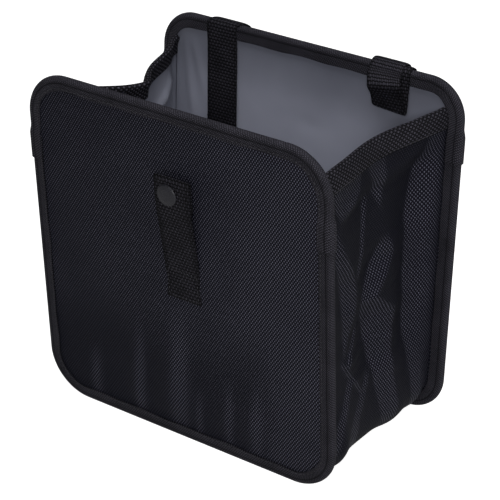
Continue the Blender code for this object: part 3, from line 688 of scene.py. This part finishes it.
def rising(z, v):
    """1 in the strips of the right wall and 0 between them, with soft edges."""
    level = z * 1000
    slope = np.zeros_like(z)
    for strip in RISING:
        heights, starts, ends = np.array(strip[::-1]).T
        inside = smooth((level - heights[0] + 5) / 8) * smooth((heights[-1] + 5 - level) / 8)
        after = smooth((v - np.interp(level, heights, starts)) / 0.03 + 0.5)
        before = smooth((np.interp(level, heights, ends) - v) / 0.03 + 0.5)
        slope = np.maximum(slope, inside * after * before)
    return slope


def right_relief(z, v):
    """Facets of the right wall: the running sum of the strips, less its even slope from panel to panel."""
    slope = rising(z, v)
    step = np.diff(v, axis=1, prepend=v[:, :1])
    rise = np.cumsum((slope + np.roll(slope, 1, axis=1)) / 2 * step, axis=1)
    share = (v - v[:, :1]) / (v[:, -1:] - v[:, :1])
    return rise - share * rise[:, -1:]


def right_wall(z, share, v):
    """Long crease near the back panel, two ridges and a shorter crease, broken into facets."""
    under_rim = smooth((0.945 - share) / 0.10)
    long_crease = bump(v, 0.78 + 0.09 * smooth((share - 0.66) / 0.30), 0.10)
    middle_ridge = bump(v, 0.60 - 0.05 * smooth((share - 0.60) / 0.30), 0.08)
    short_crease = bump(v, 0.40 + 0.10 * (1.0 - smooth(share / 0.40)), 0.09)
    front_ridge = bump(v, 0.24 - 0.15 * smooth((share - 0.55) / 0.30), 0.09)
    folds = 0.45 * middle_ridge - long_crease - 0.6 * short_crease + 0.5 * front_ridge
    facets = under_rim * (0.35 * CREASE * folds + 0.48 * WALL_DEPTH * right_relief(z, v))
    return facets - RIGHT_BOW * smooth((share - 0.30) / 0.70) * bump(v, 0.5, 0.30)


def left_wall(z, share, v):
    """Tucked in towards the rim like the side of a paper bag, with creases that run up to the back panel."""
    tuck = LEFT_TUCK * (bump(v, 0.42, 0.27) + 0.3 * bump(v, 0.80, 0.15)) + LEFT_KINK * pinch(v, 0.5, 0.07)
    under_rim = smooth((0.945 - share) / 0.06)
    crease = crease_line(v, z, ((0.60, 154), (0.97, 180)), 0.0035, 0.0030)
    crease = crease + crease_line(v, z, ((0.86, 110), (0.80, 178)), 0.0040, 0.0016)
    return -tuck * smooth((share - 0.25) / 0.75) - under_rim * crease


def gusset_points(front_stations, back_stations, v):
    """Middle surface of the gusset: straight from panel to panel, moved sideways by the folds and waves."""
    start = panel_points(FRONT, *outline(FRONT, front_stations, FRONT.inset), FLANGE_MID)[:, None, :]
    end = panel_points(BACK, *outline(BACK, back_stations, BACK.inset), FLANGE_MID)[:, None, :]
    share = v[None, :]
    points = start * (1 - share[..., None]) + end * share[..., None]
    angle = front_stations[:, 2][:, None] * (1 - share) + back_stations[:, 2][:, None] * share
    x, z = points[..., 0], points[..., 2]
    height = z / GUSSET_TOP["back"]
    right = x > 0
    share = np.broadcast_to(share, z.shape)
    wall = np.where(right, right_wall(z, height, share), left_wall(z, height, share))
    low = 1.0 - smooth((height - 0.10) / 0.30)
    wave = WAVE * (bump(share, 0.12, 0.08) + bump(share, 0.66, 0.11) + bump(share, 0.88, 0.11))
    ends = smooth(share / FOLD_END) * smooth((1.0 - share) / FOLD_END)
    fold = ends * ((1.0 - low) * wall + low * wave)
    sideways = unit(np.stack([np.cos(angle), 0 * angle, np.minimum(np.sin(angle), 0.0)], -1))
    sag = np.where(right, 0.0, LEFT_SAG * smooth(height) * bump(share, 0.5, 0.28))
    points = points + sideways * fold[..., None]
    points[..., 2] -= sag
    return points


def side_stations(panel, side, heights):
    """Stations of a side wall. Above the straight side they follow the panel's upper corner."""
    half, crown = panel.width / 2 - panel.corner, panel.height - panel.corner
    lean = np.arcsin(np.maximum(heights - crown, 0.0) / (panel.corner - panel.inset))
    angle = lean if side > 0 else math.pi - lean
    return np.stack([np.full_like(heights, side * half), np.minimum(heights, crown), angle], -1)


def gusset_run(panel, steps, floor_steps):
    """Down the left wall, along the floor and up the right wall."""
    heights = np.linspace(GUSSET_TOP[panel.name], panel.corner, steps)
    half, low, pi = panel.width / 2 - panel.corner, panel.corner, math.pi
    floor = stations([(-half, low, pi, 14), (-half, low, 1.5 * pi, floor_steps),
                      (half, low, 1.5 * pi, 14), (half, low, 2 * pi, 1)])
    left = side_stations(panel, -1, heights[:-1])
    right = side_stations(panel, 1, heights[:-1][::-1])
    right[:, 2] = np.where(right[:, 2] == 0.0, 2 * pi, right[:, 2] + 2 * pi)
    return np.concatenate([left, floor, right])


def make_gusset():
    """One strip of fabric with its flanges turned under the tape, and one strip of film inside it."""
    steps = (110, 50)
    v = np.linspace(0.0, 1.0, 149)
    middle = gusset_points(gusset_run(FRONT, *steps), gusset_run(BACK, *steps), v)
    body = middle - normals(middle) * (GAP / 2 + FABRIC_THICKNESS / 2)
    flanges = []
    for panel in (FRONT, BACK):
        x, z = outline(panel, gusset_run(panel, *steps), CORE_INSET)
        flanges.append(panel_points(panel, x, z, FLANGE_MID)[:, None, :])
    sheet = np.concatenate([flanges[0], body, flanges[1]], 1)
    v = np.concatenate([[0.0], v, [1.0]])
    across, level = np.broadcast_arrays(v[None, :], sheet[..., 2])
    # Painted glints: on the right wall the yarn tops are painted bright along the rising strips, where light
    # catches the facets; elsewhere an even level.
    painted_glint = np.where(sheet[..., 0] > 0, 0.12 + 0.66 * rising(level, across), 0.6)
    fabric = cloth_sheet("gusset_cloth", sheet, FABRIC_THICKNESS / 2, FABRIC, painted_glint=painted_glint)
    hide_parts("gusset_fabric")
    steps = (70, 30)
    v = np.linspace(0.0, 1.0, 71)
    middle = gusset_points(gusset_run(FRONT, *steps), gusset_run(BACK, *steps), v)
    inside = middle + normals(middle) * (GAP / 2 + LINER_THICKNESS / 2)
    film = cloth_sheet("gusset_film", inside, LINER_THICKNESS / 2, FILM)
    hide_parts("gusset_liner")


def make_rim(name, side):
    """Webbing folded over a side wall's upper edge: a U-shaped section, carried from panel to panel.

    Legs are lines along the wall at even drops, and each row of the section lies between two of them,
    moved off the wall by its offset.
    """
    outer = GAP / 2 + FABRIC_THICKNESS + GAP + RIM_THICKNESS / 2
    inner = GAP / 2 + LINER_THICKNESS + GAP + RIM_THICKNESS / 2
    radius, centre = (outer + inner) / 2, (outer - inner) / 2
    flat, steps = 9, 4
    drops = np.linspace(RIM_LEG, 0.0, flat)
    angle = np.linspace(0.0, math.pi, 11)[1:-1]
    offset = np.concatenate([np.full(flat, outer), centre + radius * np.cos(angle), np.full(flat, -inner)])
    drop = np.concatenate([drops, -radius * np.sin(angle), drops[::-1]])
    v = np.linspace(0.012, 0.988, 118)
    legs = []
    for fall in np.linspace(0.0, RIM_LEG, steps + 1):
        front, back = (side_stations(panel, side, np.array([GUSSET_TOP[panel.name] - fall]))
                       for panel in (FRONT, BACK))
        legs.append(gusset_points(front, back, v)[0])
    legs = np.stack(legs)
    across = normals(legs)
    across = np.where(across[..., :1] * side > 0, across, -across)
    down = unit(legs[1] - legs[0])
    level = np.clip(drop, 0.0, RIM_LEG) / RIM_LEG * steps
    first = np.minimum(level.astype(int), steps - 1)
    part = (level - first)[:, None, None]
    place = legs[first] * (1 - part) + legs[first + 1] * part
    face = unit(across[first] * (1 - part) + across[first + 1] * part)
    middle = place + face * offset[:, None, None] + down * np.minimum(drop, 0.0)[:, None, None]
    piece = cloth_sheet(name, middle.transpose(1, 0, 2), RIM_THICKNESS / 2, RIM_WEB, painted_glint=0.0)
    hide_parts(name)
    seam = legs[-1] * 0.72 + legs[-2] * 0.28 + across[-1] * (outer + RIM_THICKNESS / 2 - 0.0002)
    make_stitches(name.replace("binding", "stitches"), seam, across[-1], 0.0034)


# Webbing

def arc(x, centre_z, radius, skew=0.0):
    """From outside, over the panel's top, to inside: rows of (x, out, z, slope)."""
    angle = np.linspace(0.0, math.pi, 17)
    return np.stack([x + skew * (0.5 + 0.5 * np.cos(angle)), ROLL_MIDDLE + radius * np.cos(angle),
                     centre_z + radius * np.sin(angle), 0 * angle], -1)


def smooth_path(points, steps):
    """A curve through all the points (Catmull-Rom)."""
    points = np.asarray(points, dtype=float)
    ends = np.concatenate([[2 * points[0] - points[1]], points, [2 * points[-1] - points[-2]]])
    a, b, c, d = ends[:-3, None], ends[1:-2, None], ends[2:-1, None], ends[3:, None]
    t = (np.arange(steps) / steps)[None, :, None]
    bend = 2 * a - 5 * b + 4 * c - d
    twist = 3 * b - a - 3 * c + d
    curve = 0.5 * (2 * b + (c - a) * t + bend * t ** 2 + twist * t ** 3)
    return np.concatenate([curve.reshape(-1, points.shape[1]), points[-1:]])


def strap_rise(x, skew=0.0):
    """The sewn stretch on the rear face, the step up on to the tape and the arch over the top."""
    top = BACK.height
    step_top = top - OUTER_LEG - 2 * GAP
    step_foot = step_top - 2 * (OVER_OUT - SEWN_OUT)
    start = x + skew
    foot = np.array([[start, SEWN_OUT, top - STRAP_BASE, 0], [start, SEWN_OUT, top - STRAP_BASE + 0.02, 0],
                     [start, SEWN_OUT, step_foot, 0], [start, OVER_OUT, step_top, 0]])
    return np.concatenate([foot, arc(x, top - ROLL_DEPTH, ARCH_RADIUS, skew)])


def make_ribbon(name, panel, path, width, painted_highlight_span=(0.0, 0.0)):
    """Webbing along a path of (x, out, z, slope) in a panel's frame, thinner towards its rounded edges.

    The painted highlight span gives the start and end, along the path, of a stretch with a painted
    highlight.
    """
    along = run_length(path[:, :3])
    even = np.arange(0.0, along[-1], 0.0006)
    path = np.stack([np.interp(even, along, path[:, k]) for k in range(4)], -1)
    share = np.linspace(-0.5, 0.5, 17)
    across = width * share
    middle = panel_points(panel, path[:, 0:1] + across, path[:, 2:3] + path[:, 3:4] * across, path[:, 1:2])
    half = WEBBING_THICKNESS / 2 * np.sqrt(1.0 - 0.85 * np.abs(2 * share) ** 8)
    painted_highlight = smooth((even - painted_highlight_span[0]) / 0.002) * smooth((painted_highlight_span[1] - even) / 0.006)
    piece = cloth_sheet(name, middle, half, WEBBING, u=np.tile(across, (len(path), 1)),
                        painted_glint=painted_highlight[:, None])
    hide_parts(name)


def over_snap(seat):
    """How far out webbing lies that a stud and a socket hold off the face they sit on."""
    return seat + GAP + STUD_FLANGE + GAP + SOCKET_HEIGHT + GAP


def box_stitches(name, panel, corners):
    """A row of stitches round a closed outline on sewn webbing."""
    corners = np.array(corners + corners[:1])
    along = run_length(corners)
    even = np.linspace(0.0, along[-1], int(along[-1] / 0.0004))
    x, z = (np.interp(even, along, corners[:, k]) for k in range(2))
    out = SEWN_OUT + WEBBING_THICKNESS / 2 - 0.0001
    face_stitches(name, panel, x, z, out, pitch=0.0027, share=0.6, radius=0.0002)


def make_right_strap():
    """Up the rear face, over the top, looped inside, back over the top and snapped to itself."""
    top = BACK.height
    x, skewed = STRAP_X, STRAP_X + LOOP_SKEW
    rise = strap_rise(x)
    end_out = over_snap(SEWN_OUT + WEBBING_THICKNESS / 2) + WEBBING_THICKNESS / 2
    loop = [rise[-1], (x, INSIDE_OUT - 0.0004, top - 0.6 * LOOP_DROP, 0.0),
            (x, INSIDE_OUT - 0.0012, top - LOOP_DROP, -0.06),
            (x, INSIDE_OUT - 0.0034, top - LOOP_DROP - 0.0008, -0.06),
            (x, INSIDE_OUT - 0.62 * LOOP_BULGE, top - 0.70 * LOOP_DROP, 0.04),
            (x + 0.1 * LOOP_SKEW, INSIDE_OUT - LOOP_BULGE, top - 0.38 * LOOP_DROP, 0.18),
            (x + 0.6 * LOOP_SKEW, INSIDE_OUT - 0.66 * LOOP_BULGE, top - 0.16 * LOOP_DROP, 0.06)]
    turned = smooth_path(loop, 8)[1:]
    second = arc(skewed, top - ROLL_DEPTH, ARCH_RADIUS + LAYER)[::-1]
    rear = [second[-1], (skewed, second[-1][1] + 0.0001, top - 0.6 * STRAP_SNAP_DROP, 0.0),
            (x, end_out, top - STRAP_SNAP_DROP + SOCKET_RADIUS, 0.0),
            (x, end_out, top - STRAP_END_DROP, 0.0)]
    path = np.concatenate([rise, turned, second[1:], smooth_path(rear, 8)[1:]])
    along = run_length(path[:, :3])
    over_top = len(rise) + len(turned)
    # Painted highlight where the loop comes up and over the top.
    painted_highlight_span = (along[over_top - 10], along[over_top + 14])
    make_ribbon("right_strap", BACK, path, STRAP_WIDTH, painted_highlight_span)


def make_left_strap():
    """Up the rear face, over the top and straight down inside, its end held off the film by a snap's cap."""
    top, x = BACK.height, -STRAP_X
    end_out = LINER_FACE - GAP - CAP_HEIGHT - GAP - WEBBING_THICKNESS / 2
    fall = [(x, INSIDE_OUT, top - ROLL_DEPTH, 0.0), (x + 0.0012, INSIDE_OUT, top - 0.030, 0.0),
            (x + 0.003, end_out, top - STRAP_HANG, 0.0)]
    path = np.concatenate([strap_rise(x, LEFT_SKEW), smooth_path(fall, 20)[1:]])
    make_ribbon("left_strap", BACK, path, STRAP_WIDTH)


def tab_middle(z):
    """How far right the slanting tab's middle line is at a height."""
    return TAB_X + TAB_SLANT * (z - (TAB_TOP + TAB_BOTTOM) / 2)


def make_front_tab():
    """The upper end turned in behind, then down over the snap and in to where it is sewn."""
    hem_mid = over_snap(FABRIC_FACE) + WEBBING_THICKNESS / 2
    face_mid = hem_mid + LAYER
    hem_foot = TAB_TOP - TAB_HEM
    angle = np.linspace(0, math.pi, 9)
    radius = LAYER / 2
    turn = np.stack([hem_mid + radius * (1 - np.cos(angle)), TAB_TOP - radius * (1 - np.sin(angle))], -1)
    fall = [turn[-1], (face_mid, hem_foot), (0.6 * face_mid + 0.4 * SEWN_OUT, hem_foot - 0.015),
            (SEWN_OUT, TAB_BOTTOM + TAB_SEAM), (SEWN_OUT, TAB_BOTTOM)]
    out, z = np.concatenate([[(hem_mid, hem_foot)], turn, smooth_path(fall, 12)[1:]]).T
    path = np.stack([tab_middle(z), out, z, 0 * z], -1)
    make_ribbon("front_tab", FRONT, path, TAB_WIDTH)


def make_webbing_seams():
    """A box of stitches at the tab's foot and on the sewn end of each strap."""
    low, high = TAB_BOTTOM + SEAM_MARGIN, TAB_BOTTOM + TAB_SEAM
    side = TAB_WIDTH / 2 - SEAM_MARGIN
    box_stitches("tab_stitches", FRONT, [(tab_middle(low) - side, low), (tab_middle(high) - side, high),
                                         (tab_middle(high) + side, high), (tab_middle(low) + side, low)])
    low = BACK.height - STRAP_BASE + SEAM_MARGIN
    high = low + STRAP_SEAM
    side = STRAP_WIDTH / 2 - SEAM_MARGIN
    for name, centre in (("right_strap_stitches", STRAP_X), ("left_strap_stitches", -STRAP_X + LEFT_SKEW)):
        box_stitches(name, BACK, [(centre - side, low), (centre + side, low), (centre + side, high),
                                  (centre - side, high)])


def make_panel(panel, swell, painted_glint):
    """Outer fabric, inner film, and tape in two lengths that lap on both sides, with their seams."""
    make_panel_face(panel, panel.name + "_panel_fabric", FABRIC,
                    FABRIC_MID, FABRIC_THICKNESS, swell, painted_glint)
    make_panel_face(panel, panel.name + "_liner", FILM,
                    LINER_MID, LINER_THICKNESS, film_swell, even_shine)
    lap_top = panel.lap_height + LAP_LENGTH
    below = lower_run(panel, lap_top - GAP)
    make_tape(panel, panel.name + "_side_binding", below, np.zeros(len(below)), 1.0)
    above = upper_run(panel, panel.lap_height)
    climb = np.where(np.abs(np.sin(above[:, 2])) < 1e-6, above[:, 1], 1.0)
    lift = LAP_LIFT * smooth((lap_top + LAP_EASE - climb) / LAP_EASE)
    make_tape(panel, panel.name + "_top_binding", above, lift, 2.5)
    tape_stitches(panel, panel.name + "_side_stitches", below)
    tape_stitches(panel, panel.name + "_top_stitches", above)


def make_pieces():
    """All new pieces, and the materials of the snaps and boards, which stay as the CAD model has them."""
    make_panel(FRONT, front_swell, front_painted_glint)
    make_panel(BACK, back_swell, even_shine)
    make_gusset()
    make_rim("left_rim_binding", -1)
    make_rim("right_rim_binding", 1)
    make_right_strap()
    make_left_strap()
    make_front_tab()
    make_webbing_seams()
    for name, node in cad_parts.items():
        if "_snap_" in name:
            node.material_slots[0].material = SNAP
        if name.endswith("_board"):
            node.material_slots[0].material = BOARD


# Camera, floor and light

def make_camera():
    """The photograph's view: position and angles found by fitting the outlines of both panels."""
    yaw, pitch, roll = math.radians(36.54), math.radians(27.51), math.radians(-0.26)
    place = Vector((0.61379, -0.82102, 0.63681)) + Vector(SHIFT)
    back = Vector((math.sin(yaw) * math.cos(pitch), -math.cos(yaw) * math.cos(pitch), math.sin(pitch)))
    level = Vector((math.cos(yaw), math.sin(yaw), 0.0))
    rise = back.cross(level)
    right = level * math.cos(roll) + rise * math.sin(roll)
    up = rise * math.cos(roll) - level * math.sin(roll)
    data = bpy.data.cameras.new("camera")
    data.sensor_width = 36.0
    data.lens = 140.07
    data.clip_end = 20.0
    camera = bpy.data.objects.new("camera", data)
    camera.matrix_world = Matrix.Translation(place) @ Matrix((right, up, back)).transposed().to_4x4()
    bpy.context.scene.collection.objects.link(camera)
    bpy.context.scene.camera = camera


def make_area(name, place, size, power):
    """A rectangular soft box that faces the middle of the bin."""
    data = bpy.data.lights.new(name, "AREA")
    data.shape = "RECTANGLE"
    data.size, data.size_y = size
    data.energy = power
    light = bpy.data.objects.new(name, data)
    light.location = place
    light.rotation_euler = (Vector((0.0, 0.0, 0.1)) - Vector(place)).to_track_quat("-Z", "Y").to_euler()
    bpy.context.scene.collection.objects.link(light)


def seen_by_camera(tree, away, seen):
    """The first number for light that falls on things, and the second where the camera looks straight on."""
    return Wire(tree, None).node("ShaderNodeLightPath", {}, "Is Camera Ray").blend(away, seen).socket


def make_floor():
    """Pale floor that looks white to the camera and keeps a soft shadow."""
    bpy.ops.mesh.primitive_plane_add(size=12.0, location=(0.0, 0.0, -0.0004))
    floor = bpy.context.object
    floor.name = "floor"
    material = bpy.data.materials.new("pale_floor")
    material.use_nodes = True
    tree = material.node_tree
    shader = tree.nodes["Principled BSDF"]
    shader.inputs["Base Color"].default_value = colour(0.6, 0.6, 0.6)
    shader.inputs["Roughness"].default_value = 1.0
    shader.inputs["Specular IOR Level"].default_value = 0.0
    shader.inputs["Emission Color"].default_value = colour(1.0, 1.0, 1.0)
    tree.links.new(seen_by_camera(tree, 0.0, 0.90), shader.inputs["Emission Strength"])
    floor.data.materials.append(material)


def make_world():
    """A surround that looks white to the camera and lights the bin only faintly."""
    world = bpy.data.worlds.new("studio")
    bpy.context.scene.world = world
    world.use_nodes = True
    tree = world.node_tree
    background = tree.nodes["Background"]
    tree.links.new(seen_by_camera(tree, 0.06, 1.0), background.inputs["Strength"])
    background.inputs["Color"].default_value = colour(1.0, 1.0, 1.0)


def make_studio():
    """Floor, surround and three soft boxes: front right, right and top."""
    make_floor()
    make_world()
    make_area("front_box", (0.80, -1.20, 0.80), (0.4, 0.4), 13.0)
    make_area("right_box", (1.20, 0.25, 0.45), (0.5, 0.6), 2.2)
    make_area("top_box", (0.25, -0.25, 1.5), (0.9, 0.9), 14.0)


make_camera()
make_pieces()
make_studio()
bpy.context.scene.view_settings.view_transform = "Standard"
